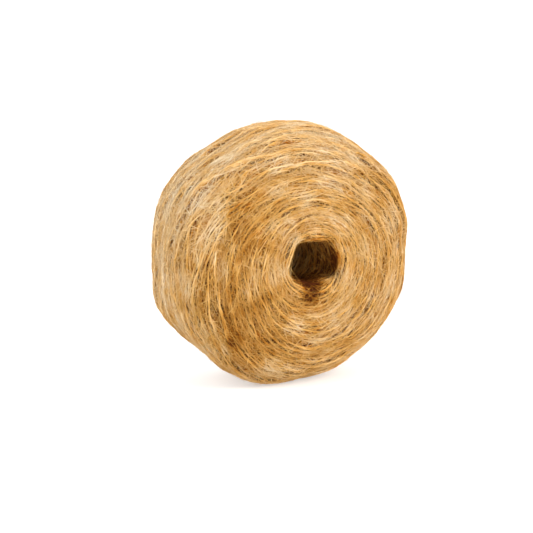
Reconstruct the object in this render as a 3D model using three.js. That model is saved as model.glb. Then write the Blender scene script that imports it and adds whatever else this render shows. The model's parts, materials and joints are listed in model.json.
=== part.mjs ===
// A roll of rough esparto cord, wound into a squat barrel around a hole that runs right through it.
// It lies on its side, on the small flat that its own weight presses into the turns.
// Millimetres, +Z up. The winding axis lies along Y, and the front mouth of the hole faces -Y.
import * as THREE from "three";

// Driving dimensions
const DIAMETER = 161;
const LENGTH = 92;
const FRONT_SQUARENESS = 3.2;
const BACK_SQUARENESS = 2.7;
const HOLE_DIAMETER = 30;
const LIP_RADIUS = 6;
const FLAT_DEPTH = 2.4;

// How finely the round forms are divided
const STEPS_AROUND = 84;
const STEPS_OVER = 34;
const STEPS_LIP = 3;
const STEPS_BORE = 6;

// Broad high and low places that the winding left. Each has its centre at an angle around the axis,
// counted from +X towards +Z as the front shows it, and at a place along it, towards the back.
const SWELLS = [
  { around: 35, along: -18, rise: 3.5, reach: 28 },
  { around: 75, along: -5, rise: 2.5, reach: 26 },
  { around: 120, along: 10, rise: -3.0, reach: 35 },
  { around: 150, along: 20, rise: 2.0, reach: 25 },
  { around: 175, along: 20, rise: -2.0, reach: 25 },
  { around: 205, along: 25, rise: 2.0, reach: 28 },
  { around: 225, along: 15, rise: -4.0, reach: 25 },
  { around: 253, along: -10, rise: 2.0, reach: 22 },
  { around: 282, along: -24, rise: -2.5, reach: 25 },
  { around: 318, along: -20, rise: -1.5, reach: 25 },
  { around: 345, along: -25, rise: 2.0, reach: 28 },
];

// Broad bundles of turns. Each runs once around the barrel at a distance over the surface from the
// front mouth, and leans towards the back by the lean on the side named by the angle.
const BANDS = [
  { distance: 22, lean: 4, towards: 60, rise: 0.8, width: 7 },
  { distance: 46, lean: 7, towards: 200, rise: 0.7, width: 8 },
  { distance: 70, lean: 10, towards: 20, rise: 1.0, width: 9 },
  { distance: 98, lean: 14, towards: 150, rise: 0.9, width: 10 },
  { distance: 124, lean: 12, towards: 300, rise: 0.9, width: 9 },
  { distance: 150, lean: 8, towards: 90, rise: 0.8, width: 9 },
  { distance: 176, lean: 5, towards: 240, rise: 0.7, width: 7 },
];

const radius = DIAMETER / 2;
const halfLength = LENGTH / 2;
const holeRadius = HOLE_DIAMETER / 2;
const lipEdge = holeRadius + LIP_RADIUS;

// A point of the barrel's outline, in the direction that leans from the axis by the angle
function outlinePoint(angle) {
  const across = Math.sin(angle);
  const along = Math.cos(angle);
  const power = along > 0 ? FRONT_SQUARENESS : BACK_SQUARENESS;
  const sum = (across / radius) ** power + (Math.abs(along) / halfLength) ** power;
  const reach = sum ** (-1 / power);
  return new THREE.Vector2(reach * across, -reach * along);
}

// The height over the middle of the end face where the lip meets it, with that end's own power
function lipHeight(power) {
  return halfLength * (1 - (lipEdge / radius) ** power) ** (1 / power);
}

// The quarter round between the hole's wall and an end face. End -1 is the front and 1 the back.
function lipPoints(end, lipTop) {
  const points = [];
  for (let i = 0; i < STEPS_LIP; i++) {
    const turn = (i / STEPS_LIP) * (Math.PI / 2);
    points.push(
      new THREE.Vector2(
        holeRadius + LIP_RADIUS * (1 - Math.cos(turn)),
        end * (lipTop - LIP_RADIUS * (1 - Math.sin(turn))),
      ),
    );
  }
  return points;
}

// The closed section that turns around the axis: front lip, outside, back lip and the hole's wall
function sectionPoints() {
  const front = lipHeight(FRONT_SQUARENESS);
  const back = lipHeight(BACK_SQUARENESS);
  const start = Math.atan2(lipEdge, front);
  const end = Math.PI - Math.atan2(lipEdge, back);
  const points = lipPoints(-1, front);
  for (let i = 0; i <= STEPS_OVER; i++) {
    points.push(outlinePoint(THREE.MathUtils.lerp(start, end, i / STEPS_OVER)));
  }
  points.push(...lipPoints(1, back).reverse());
  for (let i = 1; i < STEPS_BORE; i++) {
    const along = THREE.MathUtils.lerp(back - LIP_RADIUS, LIP_RADIUS - front, i / STEPS_BORE);
    points.push(new THREE.Vector2(holeRadius, along));
  }
  points.push(points[0].clone());
  return points;
}

function swellHeight(point) {
  let height = 0;
  for (const { around, along, rise, reach } of SWELLS) {
    const angle = THREE.MathUtils.degToRad(around);
    const centre = new THREE.Vector3(radius * Math.cos(angle), along, radius * Math.sin(angle));
    height += rise * Math.exp(-((point.distanceTo(centre) / reach) ** 2));
  }
  return height;
}

function bandHeight(distanceOver, angle) {
  let height = 0;
  for (const { distance, lean, towards, rise, width } of BANDS) {
    const line = distance + lean * Math.cos(angle - THREE.MathUtils.degToRad(towards));
    height += rise * Math.exp(-(((distanceOver - line) / width) ** 2));
  }
  return height;
}

// Raises the swells and bands on the outside, presses the flat that the roll lies on, and stands
// the roll on the ground with the middle of its outline over the origin
function woundBarrel() {
  const points = sectionPoints();
  const outsideEnd = STEPS_LIP + STEPS_OVER;
  const geometry = new THREE.LatheGeometry(points, STEPS_AROUND);
  const position = geometry.getAttribute("position");
  const normal = geometry.getAttribute("normal");
  const floor = -(radius - FLAT_DEPTH);
  for (let turn = 0; turn <= STEPS_AROUND; turn++) {
    let distanceOver = 0;
    for (let i = 0; i < points.length; i++) {
      const k = turn * points.length + i;
      const point = new THREE.Vector3().fromBufferAttribute(position, k);
      if (i > STEPS_LIP && i < outsideEnd) {
        distanceOver += points[i].distanceTo(points[i - 1]);
        const outward = new THREE.Vector3().fromBufferAttribute(normal, k);
        const height = swellHeight(point) + bandHeight(distanceOver, Math.atan2(point.z, point.x));
        point.addScaledVector(outward, height);
      }
      position.setXYZ(k, point.x, point.y, Math.max(point.z, floor));
    }
  }
  geometry.translate(0, 0, -floor);
  geometry.computeBoundingBox();
  const middle = geometry.boundingBox.getCenter(new THREE.Vector3());
  geometry.translate(-middle.x, -middle.y, 0);
  geometry.computeVertexNormals();
  return geometry;
}

const cord = new THREE.MeshStandardMaterial({ color: 0xcb995c, roughness: 0.9, metalness: 0 });
const roll = new THREE.Group();
const barrel = new THREE.Mesh(woundBarrel(), cord);
barrel.name = "wound_cord";
roll.add(barrel);

export default roll;
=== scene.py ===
# A roll of rough esparto cord on a pale floor. The cord is wound in two layers over the form that
# the model gives: each length of cord rests on what was wound before it, and fibres lie over it all.
# The winding is worked out in millimetres, and the meshes are made in metres.
import json
import math
from types import SimpleNamespace

import bpy
import numpy as np
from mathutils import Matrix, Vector


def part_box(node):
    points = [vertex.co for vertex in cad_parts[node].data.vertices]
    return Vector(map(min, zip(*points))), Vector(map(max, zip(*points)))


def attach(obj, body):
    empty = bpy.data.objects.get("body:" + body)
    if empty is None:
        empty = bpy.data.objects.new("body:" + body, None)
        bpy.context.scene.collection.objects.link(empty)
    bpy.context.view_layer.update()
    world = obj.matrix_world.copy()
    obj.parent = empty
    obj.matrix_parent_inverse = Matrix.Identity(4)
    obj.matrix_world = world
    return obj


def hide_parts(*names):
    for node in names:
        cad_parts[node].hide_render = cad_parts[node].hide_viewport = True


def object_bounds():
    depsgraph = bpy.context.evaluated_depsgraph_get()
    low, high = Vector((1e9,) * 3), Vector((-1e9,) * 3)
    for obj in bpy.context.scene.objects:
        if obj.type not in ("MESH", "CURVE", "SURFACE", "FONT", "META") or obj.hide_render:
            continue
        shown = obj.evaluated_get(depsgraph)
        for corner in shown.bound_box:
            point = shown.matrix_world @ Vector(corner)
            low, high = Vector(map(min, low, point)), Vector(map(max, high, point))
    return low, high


MM = 0.001
FORM = "wound_cord"
MAP_NAME = "OFBake"
WIND_SEED = 11
FINISH_SEED = 5

# Camera, from where the roll lies in the photograph
FRAME_SIDE = 533
SENSOR = 36.0
FOCAL_PIXELS = 1753.4
CAMERA_AZIMUTH = -29.0
CAMERA_ELEVATION = 9.0
CAMERA_DISTANCE = 1.1
AIM_ACROSS = -0.0079
AIM_UP = -0.0105

# The grid that the form is read on, and the finer map of heights that the winding builds up. The
# wound section is read at a few columns first, with rays from its middle, which lies at a share of
# the roll's width from the axis. The outside starts where the form is a little further from the
# axis than the hole's wall, and a reach beyond that it counts in full.
SECTION_RAYS = 360
SECTION_COLUMNS = 12
FORM_ROWS = 240
FORM_COLUMNS = 180
MAP_ROW = 0.3
MAP_COLUMNS = 720
RING_SHARE = 0.29
MOUTH_RISE = 3.0
OUTSIDE_REACH = 24.0

# The cord: two plies twisted together, and how it lies on what is under it. Soft cord sinks in
# where it crosses another, so its contact radius is well under its own. A taut cord bridges
# hollows, its ends are tucked in, and nothing comes closer to the floor than a small gap.
PLIES = 2
PLY_RADIUS = 0.37
PLY_OFFSET = 0.28
TWIST_PITCH = 12.0
CORD_RADIUS = 0.62
CONTACT_RADIUS = 0.36
BRIDGE = 3.0
TUCK = 1.2
TUCK_REACH = 8.0
FLOOR_GAP = 0.05

# The meshes: the step along the cord of each layer, the pieces that the last turns make, the
# fewest steps in a length, the sides of a tube and how thin its ends are. The core takes only some
# rows and columns of the form, and the picture that tubes are laid out in has a little slack.
UNDER_STEP = 4.0
LAST_STEP = 3.3
LAST_PIECES = 2
LEAST_STEPS = 3
CORD_SIDES = 4
END_SHARE = 0.3
CORE_ROW_STEP = 4
CORE_COLUMN_STEP = 2
MAP_SLACK = 1.02

# How the roll is wound: how deep the winding starts and the core lies, where its tops are, and the
# lengths of cord in it, which end before they come round to their start. Each has a lean of its
# own, and wanders in waves of a size and an angle, less so inside the hole. Where a length may be
# laid, the heap's height is read every few columns.
WOUND_DEPTH = 2.6
CORE_DEPTH = 1.75
TOP_HEIGHT = -0.35
MEAN_LENGTH = 200.0
LENGTH_SHARES = (0.45, 1.55)
MOST_COLUMNS = 700
LEAN_SPREAD = math.radians(5.0)
WANDERS = ((45.0, math.radians(4.0)), (11.0, math.radians(6.0)))
WAVES = 7
WAVE_SIZES = (0.7, 1.6)
HOLE_WANDER = 0.25
PROBE_STEP = 6

# The two layers: how many times each covers the roll, how wide a turn counts, how many places are
# tried for each length, and how the turns lean to the back: on average, by how much more on one
# side, and on which
UNDER = SimpleNamespace(
    cover=0.9,
    pitch=1.3,
    choices=4,
    lean=math.radians(-6.0),
    swing=math.radians(8.0),
    side=math.radians(120.0),
)
LAST = SimpleNamespace(
    cover=1.15,
    pitch=1.2,
    choices=8,
    lean=math.radians(5.0),
    swing=math.radians(8.0),
    side=math.radians(190.0),
)

# The broad unevenness of the heap that is taken out, in rows and columns of the map, and how flat
# the rest is pressed
LEVEL_ROWS = 24.0
LEVEL_COLUMNS = 14.0
SQUASH = 0.6

# The corners of the hole's front mouth: degrees around the axis, and distance from it. The form's
# round hole flares at its lip, by so much over so far. It is filled or worn to straight sides
# between the corners, which fade out between these distances past its edge and inside it.
MOUTH_CORNERS = ((48, 18.0), (131, 17.4), (190, 17.6), (214, 16.8), (288, 14.0), (335, 22.4))
LIP_FLARE = 2.2
LIP_DEPTH = 8.0
FILL_EDGE = (-1.0, 6.0)
FILL_DEPTH = (-26.0, -10.0)

# Where the painted shade inside the hole starts deeper, so that its wall stays pale, and the hollow
# below the mouth, which is darkened with painted shade too: degrees and millimetres
PALE_LIP_ANGLE = 314.0
PALE_LIP_WIDTH = 17.0
PALE_LIP_DEPTH = 9.0
PIT_ANGLE = 262.0
PIT_WIDTH = 25.0
PIT_OUT = 1.5
PIT_REACH = 5.0
PIT_DEPTH = 3.0

# Streaks of colour along the winding: how wide in millimetres, how long in columns, how strong.
# They follow the last turns as these lean at one distance from the axis.
STREAKS = (
    (0.6, 1.2, 0.035),
    (0.5, 3.0, 0.05),
    (1.0, 5.0, 0.065),
    (2.5, 10.0, 0.065),
    (12.0, 45.0, 0.015),
)
STREAK_RADIUS = 72.0

# Paler and darker streaks and patches: the narrow streaks are the cord's own colour, the broad
# patches are painted light and shade, and two more are painted shade in the hole: from where to
# where in millimetres, reach and change
COLOUR_AND_LIGHT_PATCHES = (
    # Painted light: paler on the left flank, the upper left and the top right
    ((-78, 0, 92), (-74, -4, 124), 30, 0.14),
    ((-56, 0, 142), (-36, -8, 152), 30, 0.12),
    ((6, -26, 154), (26, -32, 144), 22, 0.13),
    ((-79, -2, 46), (-78, -8, 66), 16, 0.14),
    ((-74, -8, 44), (-60, -12, 25), 6, 0.14),
    # Painted shade: darker at the lower left and over the left and lower parts of the front face
    ((-48, -40, 42), (-57, -39, 56), 20, -0.25),
    ((-38, -42, 98), (-28, -43, 104), 14, -0.06),
    ((-70, -31, 58), (-66, -35, 66), 10, -0.08),
    ((-34, -44, 60), (-42, -45, 86), 13, -0.12),
    ((-46, -42, 100), (-45, -39, 118), 12, -0.10),
    ((-30, -43, 50), (-22, -44, 60), 11, -0.08),
    ((-38, -38, 26), (-30, -38, 26), 12, -0.14),
    ((14, -40, 20), (20, -40, 22), 11, -0.08),
    # The cord's own colour: narrow paler and darker streaks
    ((-64, -24, 124), (-17, -37, 142), 3.0, 0.12),
    ((-17, -37, 142), (16, -35, 145), 2.4, 0.16),
    ((-14, -38, 138), (25, -44, 121), 2.4, 0.12),
    ((16, -32, 149), (27, -33, 144), 2.0, -0.24),
    ((-79, -18, 52), (-79, -18, 66), 3.0, -0.22),
    # Painted shade on the hole's bottom wall and at the right edge of its mouth
    ((-2, -36, 63), (-2, 30, 63), 9, -0.42),
    ((15, -42, 84), (17, -42, 70), 3.5, -0.4),
    # The cord's own colour: a narrow darker streak
    ((-76, -12, 48), (-76, -22, 58), 2.4, -0.16),
)

# Where the winding stands out or lies flatter: from where to where, reach and height
SWELLS = (
    ((64, -31, 100), (56, -30, 118), 12, 4.6),
    ((-49, 15, 139), (-49, 15, 139), 13, 1.2),
    ((-9, 14, 157), (-20, 14, 155), 8, 1.4),
    ((-68, 10, 117), (-78, 10, 80), 12, -1.4),
    ((-79, 16, 68), (-78, 16, 60), 10, -1.8),
    ((-64, 6, 29), (-54, 4, 20), 12, -1.9),
    ((-43, 2, 9), (-36, -2, 5), 13, -2.6),
    ((-22, -18, 2), (2, -22, 2), 10, -2.0),
    ((43, -33, 33), (56, -33, 49), 10, 2.8),
)

# Fibres: flat ones that mat the surface along the cord, short ones that lie about on it, and thin
# round hairs that stand off it. Flat is their thickness for their width, low and high are where
# they lie over the cord's tops, and standing is the share of ends that lift off.
MAT = SimpleNamespace(
    name="mat",
    count=17000,
    points=3,
    length=8.0,
    radius=0.23,
    flat=0.2,
    spread=math.radians(32),
    bend=math.radians(20),
    low=-0.02,
    high=0.28,
    standing=0.03,
    lift=0.6,
    tone=0.04,
)
SHORT = SimpleNamespace(
    name="short_fibres",
    count=40000,
    points=2,
    length=4.5,
    radius=0.2,
    flat=0.2,
    spread=math.radians(60),
    bend=0.0,
    low=0.02,
    high=0.3,
    standing=0.02,
    lift=0.5,
    tone=0.06,
)
HAIR = SimpleNamespace(
    name="hairs",
    count=1100,
    points=5,
    length=20.0,
    radius=0.085,
    flat=1.0,
    spread=math.radians(24),
    bend=math.radians(40),
    low=-0.1,
    high=0.2,
    standing=0.5,
    lift=1.1,
    tone=0.07,
)

# What all fibres share: how even their widths, lengths and lifted ends are, how much of a fibre
# an end lifts, and the share of them that stray further from the cord's direction. They lie on
# the cord's tops, evened out over a few rows and columns of the map. Each tube's grain is shifted
# from the one before, and a piece holds only so many triangles.
FIBRE_SIDES = 3
FIBRE_WIDTHS = (0.6, 1.3)
LENGTH_EVENNESS = 4.0
LEAST_FIBRE_STEP = 1.0
LIFT_EVENNESS = 2.0
LIFTED_SHARE = 0.6
STRAY_SHARE = 0.15
STRAY_SPREAD = 2.5
TOPS_REACH = 2
TOPS_BLUR = 3
GRAIN_SHIFT = 31.7
MOST_TRIANGLES = 190000

# Where fibres lie in all directions: the middle in millimetres, reach and how far they spread
NESTS = (((-56, -18, 132), 36, 2.2), ((-4, -42, 61), 9, 3.0), ((-3, -30, 63), 12, 3.0))
NEST_WANDER = 0.25

# The studio: how bright its white walls are, its floor, and its lamps
WALL_LIGHT = 1.075
FLOOR_REACH = 60.0
FLOOR_WHITE = 0.6
FLOOR_GLOW = 0.5
LAMP_SIZE = 0.9
LEFT_LAMP = SimpleNamespace(place=(-1.2, 0.2, 1.0), power=9, colour=(0.88, 0.95, 1.0))
RIGHT_LAMP = SimpleNamespace(place=(0.8, -1.1, 0.95), power=18, colour=(1.0, 0.94, 0.84))

# The ramp of cord colours from shaded brown to pale straw, and the colours of cord deep down,
# darkened as painted shade
CORD_COLOURS = (
    (0.0, (0.085, 0.02, 0.004)),
    (0.1, (0.28, 0.082, 0.008)),
    (0.22, (0.53, 0.215, 0.026)),
    (0.5, (0.76, 0.425, 0.115)),
    (0.75, (0.86, 0.59, 0.28)),
    (1.0, (0.91, 0.73, 0.48)),
)
CORE_SHADE_COLOURS = ((0.3, (0.40, 0.16, 0.026)), (0.7, (0.58, 0.27, 0.06)))

# How pale each thing is, as places on the ramp: cord, and how it varies and darkens low down as
# painted shade, with the under turns darker still as painted shade, fibres, with painted shade on
# those that lie lower, and painted shade in the hole from its edge inwards and the hollow below it
CORD_TONE = 0.592
OWN_TONE = 0.06
GRAIN_TONE = 0.3
GAP_SHADE_TONE = 0.55
GAP_SHADE_REACH = 1.5
UNDER_SHADE_TONE = 0.10
FIBRE_TONE = 0.595
FIBRE_DEPTH_SHADE = 0.3
LEAST_FIBRE_SHADE = 0.35
HOLE_SHADE_TONE = 0.56
MOUTH_EDGE = 3.0
DEEP_HOLE = 80.0
PIT_SHADE_TONE = 0.42


def smooth(low, high, value):
    """0 on low's side, 1 on high's side, and an even curve between. Either may be the greater."""
    t = np.clip((value - low) / (high - low), 0, 1)
    return t * t * (3 - 2 * t)


def make_camera(box):
    """A camera at the photograph's angle. The roll lies off the middle of its frame."""
    a, e = math.radians(CAMERA_AZIMUTH), math.radians(CAMERA_ELEVATION)
    back = Vector((math.sin(a) * math.cos(e), -math.cos(a) * math.cos(e), math.sin(e)))
    across = Vector((math.cos(a), math.sin(a), 0))
    aim = (box[0] + box[1]) / 2 + AIM_ACROSS * across + Vector((0, 0, AIM_UP))
    data = bpy.data.cameras.new("camera")
    data.sensor_width = SENSOR
    data.lens = SENSOR * FOCAL_PIXELS / FRAME_SIDE
    camera = bpy.data.objects.new("camera", data)
    camera.location = aim + CAMERA_DISTANCE * back
    camera.rotation_mode = "QUATERNION"
    camera.rotation_quaternion = (-back).to_track_quat("-Z", "Y")
    bpy.context.collection.objects.link(camera)
    bpy.context.scene.camera = camera


def hole_axis(record):
    """X and Z of the hole's axis, in millimetres, from the opening that the model states."""
    low, high = record["physics"]["openings"][0]["box_m"]
    return (low[0] + high[0]) / 2 / MM, (low[2] + high[2]) / 2 / MM


def cast(node, origins, directions):
    """Where rays from inside the form leave it, in millimetres."""
    hits = np.empty_like(origins)
    for i, (origin, direction) in enumerate(zip(origins, directions)):
        found, place, _, _ = node.ray_cast(Vector(origin * MM), Vector(direction))
        hits[i] = np.array(place) / MM if found else origin
    return hits


def section_rays(angles_over, angles_around, axis, ring):
    """Rays from the middle of the wound section, whose centre runs around the axis at the ring."""
    over, around = np.meshgrid(angles_over, angles_around, indexing="ij")
    outward = np.stack([np.cos(around), np.zeros_like(around), np.sin(around)], -1)
    origins = outward * ring + np.array([axis[0], 0, axis[1]])
    directions = -outward * np.cos(over)[..., None]
    directions[..., 1] = -np.sin(over)
    return origins.reshape(-1, 3), directions.reshape(-1, 3)


def read_form(node, axis):
    """The form as a grid that closes both ways. Its rows are even distances over the section, from
    the middle of the hole's wall over the front face first, and its columns are angles around the
    axis, from +X towards +Z."""
    low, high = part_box(FORM)
    ring = RING_SHARE * (high[0] - low[0]) / MM
    around = np.arange(FORM_COLUMNS) * 2 * np.pi / FORM_COLUMNS
    even = np.arange(SECTION_RAYS) * 2 * np.pi / SECTION_RAYS
    few = around[:: FORM_COLUMNS // SECTION_COLUMNS]
    hits = cast(node, *section_rays(even, few, axis, ring)).reshape(SECTION_RAYS, len(few), 3)
    radius = np.hypot(hits[..., 0] - axis[0], hits[..., 2] - axis[1]).mean(1)
    section = np.stack([radius, hits[..., 1].mean(1)], 1)
    steps = np.linalg.norm(np.roll(section, -1, 0) - section, axis=1)
    run = np.concatenate([[0], np.cumsum(steps)])
    length = run[-1]
    distances = np.arange(FORM_ROWS) * length / FORM_ROWS
    over = np.interp(distances, run, np.append(even, 2 * np.pi))
    origins, rays = section_rays(over, around, axis, ring)
    points = cast(node, origins, rays).reshape(FORM_ROWS, FORM_COLUMNS, 3)
    along_row = np.roll(points, -1, 0) - np.roll(points, 1, 0)
    along_column = np.roll(points, -1, 1) - np.roll(points, 1, 1)
    normals = np.cross(along_row, along_column)
    normals /= np.linalg.norm(normals, axis=2)[..., None]
    outward = points - origins.reshape(points.shape)
    normals *= np.sign((normals * outward).sum(2))[..., None]
    radii = np.hypot(points[..., 0] - axis[0], points[..., 2] - axis[1])
    outside = run[:-1][radius > radius[0] + MOUTH_RISE]
    return SimpleNamespace(
        points=points,
        normals=normals,
        radii=radii,
        length=length,
        front_mouth=outside[0],
        back_mouth=outside[-1],
        area=radii * (2 * np.pi / FORM_COLUMNS) * (length / FORM_ROWS),
    )


def sampled(grid, form, distance, column):
    """A grid of the form's, read between its rows and columns. Columns count as in the map."""
    row = distance / form.length * FORM_ROWS
    place = column * (FORM_COLUMNS / MAP_COLUMNS)
    row_floor, place_floor = np.floor(row).astype(int), np.floor(place).astype(int)
    down, right = row - row_floor, place - place_floor
    if grid.ndim == 3:
        down, right = down[..., None], right[..., None]
    r0, r1 = row_floor % FORM_ROWS, (row_floor + 1) % FORM_ROWS
    c0, c1 = place_floor % FORM_COLUMNS, (place_floor + 1) % FORM_COLUMNS
    top = grid[r0, c0] * (1 - right) + grid[r0, c1] * right
    bottom = grid[r1, c0] * (1 - right) + grid[r1, c1] * right
    return top * (1 - down) + bottom * down


def around_axis(column):
    """The angle around the axis that a column of the map stands for."""
    return column * (2 * np.pi / MAP_COLUMNS)


def outside_share(form, distance):
    """1 on the outside of the roll, down to 0 inside the hole."""
    front = smooth(form.front_mouth, form.front_mouth + OUTSIDE_REACH, distance)
    return front * (1 - smooth(form.back_mouth - OUTSIDE_REACH, form.back_mouth, distance))


def layer_lean(form, layer, distance, column):
    """How a layer's turns lean to the back as they go around, in radians. The two layers lean
    opposite ways, as the winding goes to and fro."""
    lean = layer.lean + layer.swing * np.cos(around_axis(column) - layer.side)
    return lean * outside_share(form, distance)


def waves(rng, size):
    """A smooth random height over space, about 1 deep, whose bumps are about one size across."""
    ways = rng.normal(size=(WAVES, 3))
    ways /= np.linalg.norm(ways, axis=1)[:, None]
    ways *= (2 * np.pi / (size * rng.uniform(*WAVE_SIZES, WAVES)))[:, None]
    phase = rng.uniform(0, 2 * np.pi, WAVES)
    return lambda places: np.sin(places @ ways.T + phase).sum(-1) / WAVES**0.5


def nearness(places, start, end, reach):
    """1 on the line from start to end, and 0 well beyond its reach. All are in millimetres."""
    start, way = np.array(start, float), np.subtract(end, start)
    share = ((places - start) @ way / max(way @ way, 1)).clip(0, 1)
    away = places - start - share[..., None] * way
    return np.exp(-(away**2).sum(-1) / reach**2)


def nest_share(places):
    """How far the cord and its fibres spread from the winding's direction, above the usual."""
    return sum(spread * nearness(places, place, place, reach) for place, reach, spread in NESTS)


def walk(form, distance, column, columns, lean):
    """The distances over the section that lengths of cord pass, one for each column."""
    passed = np.empty((len(distance), columns))
    angle = around_axis(1)
    for k in range(columns):
        passed[:, k] = distance
        radius = sampled(form.radii, form, distance, column + k)
        distance = distance + np.tan(lean(distance, column + k)) * radius * angle
    return passed


def pick_starts(form, rng, count):
    """Random places on the form, as many on each square millimetre."""
    share = (form.area / form.area.sum()).ravel()
    cell = rng.choice(share.size, count, p=share)
    row = cell // FORM_COLUMNS + rng.uniform(0, 1, count)
    column = cell % FORM_COLUMNS + rng.uniform(0, 1, count)
    map_column = np.floor(column * MAP_COLUMNS / FORM_COLUMNS).astype(int)
    return row * form.length / FORM_ROWS, map_column


def bridged(heights, reach):
    """The line of a taut cord over these heights: it spans the hollows between the high places."""
    reach = max(int(reach), 1)
    padded = np.pad(heights, reach, mode="edge")
    high = np.lib.stride_tricks.sliding_window_view(padded, 2 * reach + 1).max(1)
    weights = np.hanning(2 * reach + 3)[1:-1]
    padded = np.pad(high, reach, mode="edge")
    return np.convolve(padded, weights / weights.sum(), "valid")


def lay(form, heap, distance, column):
    """Lays one length of cord on the heap of heights, and returns the height of its middle."""
    rows = len(heap)
    middle = np.round(distance / MAP_ROW).astype(int)
    wide = int(np.ceil(CORD_RADIUS / MAP_ROW))
    spread = np.arange(-wide, wide + 1)[:, None]
    across = (middle + spread) * MAP_ROW - distance
    row = (middle + spread) % rows
    place = np.broadcast_to(column % MAP_COLUMNS, row.shape)
    under = heap[row, place]
    contact = CONTACT_RADIUS**2 - across**2
    rest = np.where(contact > 0, under + np.sqrt(np.maximum(contact, 0)), -np.inf).max(0)
    columns_per_mm = 1 / (sampled(form.radii, form, distance, column).mean() * around_axis(1))
    height = bridged(rest, BRIDGE * columns_per_mm)
    end = np.minimum(np.arange(len(height)), np.arange(len(height))[::-1])
    height -= TUCK * (1 - smooth(0, TUCK_REACH * columns_per_mm, end))
    round_top = CORD_RADIUS**2 - across**2
    top = np.where(round_top > 0, height + np.sqrt(np.maximum(round_top, 0)), -np.inf)
    heap[row, place] = np.maximum(under, top)
    return height


def wind_layer(form, heap, rng, layer):
    """The lengths of cord of one layer. Each is laid where the roll is lowest, out of a few random
    places."""
    count = int(layer.cover * form.area.sum() / (layer.pitch * MEAN_LENGTH))
    tries = layer.choices
    distance, column = pick_starts(form, rng, count * tries)
    length = np.repeat(MEAN_LENGTH * rng.uniform(*LENGTH_SHARES, count), tries)
    own_lean = rng.normal(0, LEAN_SPREAD, count * tries)
    drifts = [(waves(rng, size), angle) for size, angle in WANDERS]

    def leaning(d, c):
        places = sampled(form.points, form, d, c)
        wander = own_lean + sum(angle * drift(places) for drift, angle in drifts)
        wander *= 1 + NEST_WANDER * nest_share(places)
        freedom = HOLE_WANDER + (1 - HOLE_WANDER) * outside_share(form, d)
        return layer_lean(form, layer, d, c) + wander * freedom

    radius = sampled(form.radii, form, distance, column)
    columns = np.minimum(length / (radius * around_axis(1)), MOST_COLUMNS).astype(int)
    passed = walk(form, distance, column, columns.max(), leaning)
    laid = []
    for i in range(count):
        best = None
        for j in range(i * tries, (i + 1) * tries):
            path = passed[j, : columns[j]]
            span = column[j] + np.arange(columns[j])
            row = np.round(path[::PROBE_STEP] / MAP_ROW).astype(int) % len(heap)
            level = heap[row, span[::PROBE_STEP] % MAP_COLUMNS].mean()
            if best is None or level < best[0]:
                best = (level, path, span)
        height = lay(form, heap, best[1], best[2])
        laid.append(SimpleNamespace(distance=best[1], column=best[2], height=height))
    return laid


def blurred(grid, rows, columns):
    """A grid that closes both ways, smoothed over so many rows and columns."""
    down = np.fft.fftfreq(grid.shape[0])[:, None] * rows
    right = np.fft.rfftfreq(grid.shape[1])[None] * columns
    fall = np.exp(-2 * np.pi**2 * (down**2 + right**2))
    return np.fft.irfft2(np.fft.rfft2(grid) * fall, grid.shape)


def read_map(grid, distance, column):
    """What a map says at places, to the nearest row and column."""
    row = np.round(distance / MAP_ROW).astype(int) % grid.shape[0]
    return grid[row, np.round(column).astype(int) % MAP_COLUMNS]


def angle_share(angle, middle, width):
    """1 at an angle around the axis, and 0 well away from it. All are in degrees."""
    return np.exp(-((((angle - middle + 180) % 360 - 180) / width) ** 2))


def pit_share(form, distance, angle):
    """1 in the hollow just below the hole's mouth, and 0 away from it. The angle is in degrees."""
    out = (distance - form.front_mouth - PIT_OUT) / PIT_REACH
    return angle_share(angle, PIT_ANGLE, PIT_WIDTH) * np.exp(-(out**2))


def mouth_shape(form, rows):
    """How far the form's round hole is filled or worn at each place, as a map: its mouth has
    straight sides between corners, and below it a hollow slopes up to the face."""
    distance = np.arange(rows)[:, None] * MAP_ROW
    angle = np.degrees(around_axis(np.arange(MAP_COLUMNS)))
    corners = np.array(MOUTH_CORNERS)
    turns = np.append(corners[:, 0], corners[0, 0] + 360)
    reach = np.append(corners[:, 1], corners[0, 1])
    at = (angle - turns[0]) % 360 + turns[0]
    side = np.searchsorted(turns, at, "right") - 1
    before, after = np.radians(at - turns[side]), np.radians(turns[side + 1] - at)
    near, far = reach[side], reach[side + 1]
    straight = near * far * np.sin(before + after) / (near * np.sin(before) + far * np.sin(after))
    out = distance - form.front_mouth
    share = (1 - smooth(*FILL_EDGE, out)) * smooth(*FILL_DEPTH, out)
    hole = form.radii[0].mean() + LIP_FLARE * smooth(-LIP_DEPTH, 0, out)
    return (hole - straight) * share - PIT_DEPTH * pit_share(form, distance, angle)


def swell_shape(form, rows):
    """How far the winding stands out or lies flatter at each place, as a map."""
    grid = np.zeros_like(form.radii)
    for start, end, reach, height in SWELLS:
        grid += height * nearness(form.points, start, end, reach)
    distance = np.arange(rows)[:, None] * MAP_ROW
    return sampled(grid, form, distance, np.arange(MAP_COLUMNS)[None])


def wind(form):
    """The lengths of cord of both layers, the height map of their tops, and the map of how they
    depart from the form. The broad unevenness that the layers make is taken out and the rest is
    pressed flatter, so that the roll keeps the form's own shape."""
    rng = np.random.default_rng(WIND_SEED)
    heap = np.full((int(round(form.length / MAP_ROW)), MAP_COLUMNS), -WOUND_DEPTH)
    under = wind_layer(form, heap, rng, UNDER)
    last = wind_layer(form, heap, rng, LAST)
    shape = mouth_shape(form, len(heap)) + swell_shape(form, len(heap))
    level = blurred(heap, LEVEL_ROWS, LEVEL_COLUMNS)
    base = TOP_HEIGHT + shape - SQUASH * level
    for strand in under + last:
        strand.height = SQUASH * strand.height + read_map(base, strand.distance, strand.column)
    return under, last, SQUASH * heap + base, shape


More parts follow.
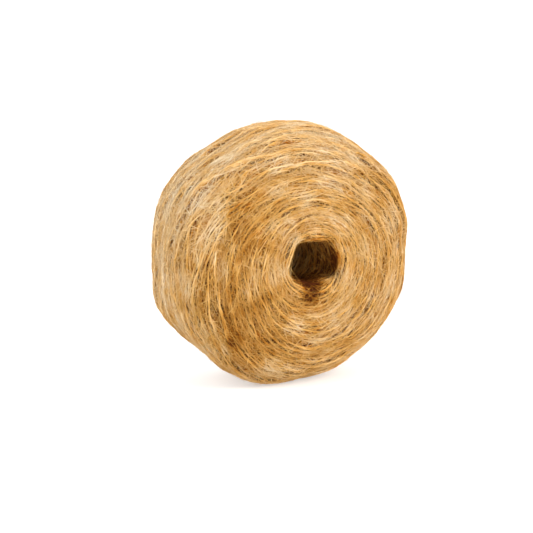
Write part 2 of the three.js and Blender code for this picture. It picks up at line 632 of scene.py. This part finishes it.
def route(form, strand, step):
    """One laid length of cord as points a step apart: places, outward directions and heights."""
    radius = sampled(form.radii, form, strand.distance, strand.column)
    moved = np.hypot(radius[1:] * around_axis(1), np.diff(strand.distance))
    run = np.concatenate([[0], np.cumsum(moved)])
    count = max(int(run[-1] / step), LEAST_STEPS) + 1
    at = np.linspace(0, run[-1], count)
    distance = np.interp(at, run, strand.distance)
    column = np.interp(at, run, strand.column.astype(float))
    height = np.interp(at, run, strand.height)
    points = sampled(form.points, form, distance, column)
    normals = sampled(form.normals, form, distance, column)
    return points + normals * height[:, None], normals, at, height, distance, column


def routes(form, strands, step):
    """The routes of many strands, end to end, with how many points each has."""
    parts = [route(form, s, step) for s in strands]
    names = ("points", "normals", "along", "height", "distance", "column")
    joined = {name: np.concatenate([p[i] for p in parts]) for i, name in enumerate(names)}
    return SimpleNamespace(counts=np.array([len(p[0]) for p in parts]), **joined)


def route_ends(counts):
    """The first and last point of each route, where routes are laid end to end."""
    last = np.cumsum(counts) - 1
    return last - counts + 1, last


def directions(points, normals, counts):
    """Unit vectors across each route and up from the form, square to the route and each other."""
    first, last = route_ends(counts)
    ahead = np.arange(len(points)) + 1
    ahead[last] = last
    behind = np.arange(len(points)) - 1
    behind[first] = first
    forward = points[ahead] - points[behind]
    forward /= np.linalg.norm(forward, axis=1)[:, None]
    across = np.cross(forward, normals)
    across /= np.linalg.norm(across, axis=1)[:, None]
    return across, np.cross(across, forward)


def row_places(lengths, girth):
    """Rows of a square picture, and where each tube starts in its row, so that no two overlap."""
    rows = max(int((lengths.sum() / girth) ** 0.5), 1)
    room = max(lengths.max(), MAP_SLACK * lengths.sum() / rows)
    row, start = np.empty(len(lengths)), np.empty(len(lengths))
    now, used = 0, 0.0
    for i, length in enumerate(lengths):
        if used + length > room:
            now, used = now + 1, 0.0
        row[i], start[i] = now, used
        used += length
    return row, start, now + 1, room


def tube_faces(counts, sides):
    """Corners of the quads along tubes laid end to end, and of the caps at their ends."""
    first, last = route_ends(counts)
    inner = np.setdiff1d(np.arange(counts.sum()), last)[:, None] * sides
    side = np.arange(sides)
    after = (side + 1) % sides
    quads = [inner + sides + side, inner + sides + after, inner + after, inner + side]
    caps = [first[:, None] * sides + side, last[:, None] * sides + side[::-1]]
    return np.stack(quads, -1).reshape(-1, 4), np.concatenate(caps)


def tube_map(along, radius, counts, sides):
    """Where each corner of those faces lies in a picture: tubes lie straight, side by side."""
    first, last = route_ends(counts)
    row, start, rows, room = row_places(along[last] - along[first], 2 * np.pi * radius.mean())
    tube = np.repeat(np.arange(len(counts)), counts)
    u = (start[tube] + along - along[first][tube]) / room
    inner = np.setdiff1d(np.arange(len(along)), last)
    side = np.arange(sides)
    ahead, behind = [np.repeat(u[i][:, None], sides, 1) for i in (inner + 1, inner)]
    low, high = [(row[tube][inner][:, None] + (side + k) / sides) / rows for k in (0, 1)]
    quad_u = np.stack([ahead, ahead, behind, behind], -1)
    quad_v = np.stack([low, high, high, low], -1)
    ends = np.repeat(np.concatenate([first, last]), sides)
    cap_map = np.stack([u[ends], row[tube][ends] / rows], -1)
    return np.concatenate([np.stack([quad_u, quad_v], -1).reshape(-1, 2), cap_map])


def make_tubes(name, centres, across, up, radius, along, counts, sides, tone, flat=1.0):
    """Closed tubes along routes laid end to end, as one mesh. Each point of a route has a radius
    and a tone, and flat is how thick a tube is for its width. The grain attribute says where each
    vertex is around and along its tube."""
    angles = np.arange(sides) * 2 * np.pi / sides
    turn = np.stack([np.cos(angles), np.sin(angles)], -1)
    ring = turn[:, :1] * across[:, None] + flat * turn[:, 1:] * up[:, None]
    places = centres[:, None] + ring * radius[:, None, None]
    places[..., 2] = np.maximum(places[..., 2], FLOOR_GAP)
    quads, caps = tube_faces(counts, sides)
    corners = np.concatenate([quads.ravel(), caps.ravel()])
    starts = np.concatenate(
        [np.arange(len(quads)) * 4, len(quads) * 4 + np.arange(len(caps)) * sides]
    )
    mesh = bpy.data.meshes.new(name)
    mesh.vertices.add(len(centres) * sides)
    mesh.vertices.foreach_set("co", (places * MM).ravel().astype(np.float32))
    mesh.loops.add(len(corners))
    mesh.loops.foreach_set("vertex_index", corners.astype(np.int32))
    mesh.polygons.add(len(starts))
    mesh.polygons.foreach_set("loop_start", starts.astype(np.int32))
    mesh.update(calc_edges=True)
    mesh.shade_smooth()
    picture = tube_map(along, radius, counts, sides)
    layer = mesh.uv_layers.new(name=MAP_NAME)
    layer.uv.foreach_set("vector", picture.ravel().astype(np.float32))
    grain = np.empty((len(centres), sides, 3), np.float32)
    grain[..., :2] = turn
    grain[..., 2] = (along + GRAIN_SHIFT * np.repeat(np.arange(len(counts)), counts))[:, None]
    data = mesh.attributes.new("grain", "FLOAT_VECTOR", "POINT").data
    data.foreach_set("vector", grain.ravel())
    data = mesh.attributes.new("tone", "FLOAT", "POINT").data
    data.foreach_set("value", np.repeat(tone, sides).astype(np.float32))
    piece = bpy.data.objects.new(name, mesh)
    bpy.context.collection.objects.link(piece)
    return piece


def streak_map(rng, rows):
    """Uneven colour over the roll, as a map: narrow streaks along the winding, and broader ones."""
    total = np.zeros((rows, MAP_COLUMNS))
    for wide, columns, strength in STREAKS:
        grid = blurred(rng.normal(size=total.shape), wide / MAP_ROW, columns)
        total += strength * grid / grid.std()
    return total


def leaning_with(form, distance, column):
    """The distance moved back along the lean, so that streaks read there lie along the cord."""
    angle = around_axis(column) % (2 * np.pi)
    gone = LAST.lean * angle + LAST.swing * np.sin(angle - LAST.side)
    return distance - gone * STREAK_RADIUS * outside_share(form, distance)


def place_tone(form, streaks, distance, column, shade=1.0):
    """How pale the roll is at each place: streaks and patches, the broad patches painted light and
    shade, and painted shade inside the hole and in the hollow below it. Shade is how far those two
    darken what lies there."""
    tone = read_map(streaks, leaning_with(form, distance, column), column)
    places = sampled(form.points, form, distance, column)
    for start, end, reach, change in COLOUR_AND_LIGHT_PATCHES:
        tone = tone + change * nearness(places, start, end, reach)
    angle = np.degrees(around_axis(column))
    # Painted shade in the hollow below the hole's mouth
    pit_shade = PIT_SHADE_TONE * pit_share(form, distance, angle)
    # Painted shade inside the hole: from its edge inwards, fading out deep in, and starting deeper
    # where the wall stays pale
    around_section = distance % form.length
    inside = np.maximum(form.front_mouth - around_section, around_section - form.back_mouth)
    inside = inside - PALE_LIP_DEPTH * angle_share(angle, PALE_LIP_ANGLE, PALE_LIP_WIDTH)
    mouth = smooth(0, MOUTH_EDGE, inside) * (1 - smooth(MOUTH_EDGE, DEEP_HOLE, inside))
    return tone - shade * (pit_shade + HOLE_SHADE_TONE * mouth)


def cord_tone(form, rng, streaks, over, r):
    """How pale the cord is at each point: its own colour, its place, and painted shade low down."""
    own = np.repeat(rng.normal(0, OWN_TONE, len(r.counts)), r.counts)
    # Painted shade: cord that lies below the tops around it is darker, the deeper the more
    below = read_map(over, r.distance, r.column) - CORD_RADIUS - r.height
    low = GAP_SHADE_TONE * smooth(0, GAP_SHADE_REACH, below)
    return CORD_TONE + own - low + place_tone(form, streaks, r.distance, r.column)


def tapered(counts):
    """1 along each route, where routes are laid end to end, and less at both its ends."""
    taper = np.ones(counts.sum())
    taper[np.concatenate(route_ends(counts))] = END_SHARE
    return taper


def make_twisted(name, form, rng, streaks, over, strands):
    """Twisted cord: each strand is a pair of plies that wind around each other."""
    r = routes(form, strands, LAST_STEP)
    across, up = directions(r.points, r.normals, r.counts)
    tone = cord_tone(form, rng, streaks, over, r)
    phase = np.repeat(rng.uniform(0, 2 * np.pi, len(r.counts)), r.counts)
    centres = []
    for ply in range(PLIES):
        turn = 2 * np.pi * (r.along / TWIST_PITCH + ply / PLIES) + phase
        around = across * np.cos(turn)[:, None] + up * np.sin(turn)[:, None]
        centres.append(r.points + PLY_OFFSET * around)
    return make_tubes(
        name,
        np.concatenate(centres),
        np.tile(across, (PLIES, 1)),
        np.tile(up, (PLIES, 1)),
        np.tile(PLY_RADIUS * tapered(r.counts), PLIES),
        np.tile(r.along, PLIES),
        np.tile(r.counts, PLIES),
        CORD_SIDES,
        np.tile(tone, PLIES),
    )


def make_plain(name, form, rng, streaks, over, strands):
    """Cord as one tube a strand, for the turns that only show between others."""
    r = routes(form, strands, UNDER_STEP)
    across, up = directions(r.points, r.normals, r.counts)
    # Painted shade: the under turns are darker than the cord above them
    tone = cord_tone(form, rng, streaks, over, r) - UNDER_SHADE_TONE
    radius = CORD_RADIUS * tapered(r.counts)
    return make_tubes(name, r.points, across, up, radius, r.along, r.counts, CORD_SIDES, tone)


def make_core(form, shape):
    """The turns too deep to see singly, as one closed skin under the modelled ones."""
    rows, columns = slice(0, None, CORE_ROW_STEP), slice(0, None, CORE_COLUMN_STEP)
    distance = np.arange(FORM_ROWS)[rows, None] * form.length / FORM_ROWS
    column = np.arange(FORM_COLUMNS)[None, columns] * MAP_COLUMNS / FORM_COLUMNS
    height = read_map(shape, distance, column) - CORE_DEPTH
    points = form.points[rows, columns] + height[..., None] * form.normals[rows, columns]
    points[..., 2] = np.maximum(points[..., 2], FLOOR_GAP)
    down, right = points.shape[:2]
    row, place = np.meshgrid(np.arange(down), np.arange(right), indexing="ij")
    below, beside = (row + 1) % down, (place + 1) % right
    corners = ((row, place), (row, beside), (below, beside), (below, place))
    faces = np.stack([(r * right + c).ravel() for r, c in corners], -1)
    mesh = bpy.data.meshes.new("core")
    mesh.from_pydata((points.reshape(-1, 3) * MM).tolist(), [], faces.tolist())
    mesh.update()
    mesh.shade_smooth()
    piece = bpy.data.objects.new("core", mesh)
    bpy.context.collection.objects.link(piece)
    return piece


def envelope(heap):
    """The height that fibres lie on: over the tops of the cord, and smooth."""
    high = heap
    for axis in (0, 1):
        for shift in range(1, TOPS_REACH + 1):
            beside = np.maximum(np.roll(high, shift, axis), np.roll(high, -shift, axis))
            high = np.maximum(high, beside)
    return blurred(high, TOPS_BLUR, TOPS_BLUR)


def end_lifts(rng, kind):
    """How far one end of each fibre of a kind stands off: most of them not at all."""
    stands = rng.random(kind.count) < kind.standing
    lift = rng.gamma(LIFT_EVENNESS, kind.lift / LIFT_EVENNESS, kind.count)
    return np.where(stands, lift, 0)


def fibre_routes(form, over, rng, kind):
    """Where fibres of one kind lie: mostly along the cord, with some ends standing off."""
    distance, column = pick_starts(form, rng, kind.count)
    column = column.astype(float)
    length = kind.length * rng.gamma(LENGTH_EVENNESS, 1 / LENGTH_EVENNESS, kind.count)
    step = length / (kind.points - 1) + LEAST_FIBRE_STEP
    heading = rng.normal(0, kind.spread, kind.count)
    heading *= np.where(rng.random(kind.count) < STRAY_SHARE, STRAY_SPREAD, 1)
    heading *= 1 + nest_share(sampled(form.points, form, distance, column))
    bend = rng.normal(0, kind.bend, kind.count) / (kind.points - 1)
    deep = rng.uniform(kind.low, kind.high, kind.count)
    start_lift = end_lifts(rng, kind)
    end_lift = end_lifts(rng, kind)
    parts = {name: [] for name in ("points", "normals", "distance", "column")}
    for k in range(kind.points):
        t = k / (kind.points - 1)
        lift = start_lift * smooth(LIFTED_SHARE, 0, t) + end_lift * smooth(1 - LIFTED_SHARE, 1, t)
        height = read_map(over, distance, column) + deep + lift
        normal = sampled(form.normals, form, distance, column)
        place = sampled(form.points, form, distance, column) + normal * height[:, None]
        for name, value in zip(parts, (place, normal, distance, column)):
            parts[name].append(value)
        radius = sampled(form.radii, form, distance, column)
        angle = layer_lean(form, LAST, distance, column) + heading
        distance = distance + np.sin(angle) * step
        column = column + np.cos(angle) * step / (radius * around_axis(1))
        heading = heading + bend
    joined = {name: np.stack(value, 1) for name, value in parts.items()}
    along = np.arange(kind.points) * step[:, None]
    return SimpleNamespace(along=along, deep=deep, **joined)


def make_fibres(form, over, rng, streaks, kind):
    """Fibres of one kind, in as many pieces as their triangles need."""
    r = fibre_routes(form, over, rng, kind)
    # Painted shade: fibres that lie lower are darker, and higher ones paler
    own = rng.normal(0, kind.tone, kind.count) + FIBRE_DEPTH_SHADE * r.deep
    shade = rng.uniform(LEAST_FIBRE_SHADE, 1, (kind.count, 1))
    tone = FIBRE_TONE + own[:, None] + place_tone(form, streaks, r.distance, r.column, shade)
    taper = tapered(np.array([kind.points]))
    radius = kind.radius * rng.uniform(*FIBRE_WIDTHS, (kind.count, 1)) * taper
    each = MOST_TRIANGLES // (2 * FIBRE_SIDES * (kind.points - 1) + 2 * (FIBRE_SIDES - 2))
    pieces = []
    for start in range(0, kind.count, each):
        part = slice(start, start + each)
        points, normals = r.points[part].reshape(-1, 3), r.normals[part].reshape(-1, 3)
        counts = np.full(len(r.points[part]), kind.points)
        across, up = directions(points, normals, counts)
        name = f"{kind.name}_{len(pieces) + 1}"
        wide, along, pale = [value[part].ravel() for value in (radius, r.along, tone)]
        piece = make_tubes(
            name, points, across, up, wide, along, counts, FIBRE_SIDES, pale, kind.flat
        )
        pieces.append(piece)
    return pieces


def link(tree, start, end):
    tree.links.new(start, end)


def new_node(tree, kind, **settings):
    node = tree.nodes.new(kind)
    for name, value in settings.items():
        setattr(node, name, value)
    return node


def set_ramp(node, stops):
    """Gives a colour ramp its stops: pairs of a place and a colour."""
    ramp = node.color_ramp
    while len(ramp.elements) < len(stops):
        ramp.elements.new(0.5)
    for element, (place, colour) in zip(ramp.elements, stops):
        element.position = place
        element.color = (*colour, 1)


def cord_material():
    """Dry grass fibre: straw gold to brown, streaked along the ply, and rough."""
    material = bpy.data.materials.new("esparto")
    material.use_nodes = True
    tree = material.node_tree
    shader = tree.nodes["Principled BSDF"]
    shader.inputs["Roughness"].default_value = 0.75
    shader.inputs["Specular IOR Level"].default_value = 0.06
    grain = new_node(tree, "ShaderNodeAttribute", attribute_name="grain")
    tone = new_node(tree, "ShaderNodeAttribute", attribute_name="tone")
    stretch = new_node(tree, "ShaderNodeMapping")
    stretch.inputs["Scale"].default_value = (1.6, 1.6, 0.22)
    streaks = new_node(tree, "ShaderNodeTexNoise")
    streaks.inputs["Scale"].default_value = 1.0
    streaks.inputs["Detail"].default_value = 3.0
    streaks.inputs["Roughness"].default_value = 0.6
    spread = new_node(tree, "ShaderNodeMath", operation="MULTIPLY_ADD")
    spread.inputs[1].default_value = GRAIN_TONE
    spread.inputs[2].default_value = -GRAIN_TONE / 2
    total = new_node(tree, "ShaderNodeMath", operation="ADD")
    colours = new_node(tree, "ShaderNodeValToRGB")
    set_ramp(colours, CORD_COLOURS)
    bump = new_node(tree, "ShaderNodeBump")
    bump.inputs["Strength"].default_value = 0.5
    bump.inputs["Distance"].default_value = 0.0002
    link(tree, grain.outputs["Vector"], stretch.inputs["Vector"])
    link(tree, stretch.outputs["Vector"], streaks.inputs["Vector"])
    link(tree, streaks.outputs["Fac"], spread.inputs[0])
    link(tree, spread.outputs[0], total.inputs[0])
    link(tree, tone.outputs["Fac"], total.inputs[1])
    link(tree, total.outputs[0], colours.inputs["Fac"])
    link(tree, colours.outputs["Color"], shader.inputs["Base Color"])
    link(tree, streaks.outputs["Fac"], bump.inputs["Height"])
    link(tree, bump.outputs["Normal"], shader.inputs["Normal"])
    return material


def core_material():
    """Cord seen only between the turns above it, in darker colours that are painted shade."""
    material = bpy.data.materials.new("deep_cord_shade")
    material.use_nodes = True
    tree = material.node_tree
    shader = tree.nodes["Principled BSDF"]
    shader.inputs["Roughness"].default_value = 0.9
    shader.inputs["Specular IOR Level"].default_value = 0.05
    place = new_node(tree, "ShaderNodeTexCoord")
    noise = new_node(tree, "ShaderNodeTexNoise")
    noise.inputs["Scale"].default_value = 400.0
    colours = new_node(tree, "ShaderNodeValToRGB")
    set_ramp(colours, CORE_SHADE_COLOURS)
    link(tree, place.outputs["Object"], noise.inputs["Vector"])
    link(tree, noise.outputs["Fac"], colours.inputs["Fac"])
    link(tree, colours.outputs["Color"], shader.inputs["Base Color"])
    return material


def make_floor():
    """A plain pale floor that reaches to the horizon."""
    mesh = bpy.data.meshes.new("floor")
    signs = ((-1, -1), (1, -1), (1, 1), (-1, 1))
    corners = [(x * FLOOR_REACH, y * FLOOR_REACH, 0) for x, y in signs]
    mesh.from_pydata(corners, [], [(0, 1, 2, 3)])
    floor = bpy.data.objects.new("floor", mesh)
    material = bpy.data.materials.new("floor")
    material.use_nodes = True
    shader = material.node_tree.nodes["Principled BSDF"]
    shader.inputs["Base Color"].default_value = (FLOOR_WHITE, FLOOR_WHITE, FLOOR_WHITE, 1)
    shader.inputs["Emission Color"].default_value = (1, 1, 1, 1)
    shader.inputs["Emission Strength"].default_value = FLOOR_GLOW
    shader.inputs["Roughness"].default_value = 0.9
    shader.inputs["Specular IOR Level"].default_value = 0.1
    mesh.materials.append(material)
    bpy.context.collection.objects.link(floor)


def make_lamp(name, lamp, aim):
    data = bpy.data.lights.new(name, "AREA")
    data.shape = "DISK"
    data.size = LAMP_SIZE
    data.energy = lamp.power
    data.color = lamp.colour
    light = bpy.data.objects.new(name, data)
    light.location = lamp.place
    light.rotation_mode = "QUATERNION"
    light.rotation_quaternion = (aim - Vector(lamp.place)).to_track_quat("-Z", "Y")
    bpy.context.collection.objects.link(light)


def light_scene(middle):
    """Soft studio light: white walls all round, and a lamp from either side."""
    world = bpy.data.worlds.new("studio")
    bpy.context.scene.world = world
    world.use_nodes = True
    sky = world.node_tree.nodes["Background"]
    sky.inputs["Color"].default_value = (1, 1, 1, 1)
    sky.inputs["Strength"].default_value = WALL_LIGHT
    make_lamp("left", LEFT_LAMP, middle)
    make_lamp("right", RIGHT_LAMP, middle)
    bpy.context.scene.view_settings.view_transform = "Standard"


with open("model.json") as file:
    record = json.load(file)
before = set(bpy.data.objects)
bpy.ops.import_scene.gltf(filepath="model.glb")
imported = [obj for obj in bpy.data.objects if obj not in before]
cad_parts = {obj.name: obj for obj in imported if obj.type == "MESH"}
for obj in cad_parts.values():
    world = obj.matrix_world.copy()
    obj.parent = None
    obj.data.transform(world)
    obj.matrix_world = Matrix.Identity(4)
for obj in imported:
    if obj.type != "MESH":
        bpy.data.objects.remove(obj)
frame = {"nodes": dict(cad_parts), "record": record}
cad_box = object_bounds()
make_camera(cad_box)
make_floor()
light_scene((cad_box[0] + cad_box[1]) / 2)
form = read_form(frame["nodes"][FORM], hole_axis(frame["record"]))
under, last, heap, shape = wind(form)
finish_rng = np.random.default_rng(FINISH_SEED)
streaks = streak_map(finish_rng, len(heap))
pieces = [make_core(form, shape)]
pieces[0].data.materials.append(core_material())
esparto = cord_material()
over = envelope(heap)
cords = [make_plain("under_turns", form, finish_rng, streaks, over, under)]
each = math.ceil(len(last) / LAST_PIECES)
for k in range(LAST_PIECES):
    part = last[k * each : (k + 1) * each]
    cords.append(make_twisted(f"last_turns_{k + 1}", form, finish_rng, streaks, over, part))
for kind in (MAT, SHORT, HAIR):
    cords += make_fibres(form, over, finish_rng, streaks, kind)
for piece in cords:
    piece.data.materials.append(esparto)
pieces += cords
for piece in pieces:
    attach(piece, "root")
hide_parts(FORM)
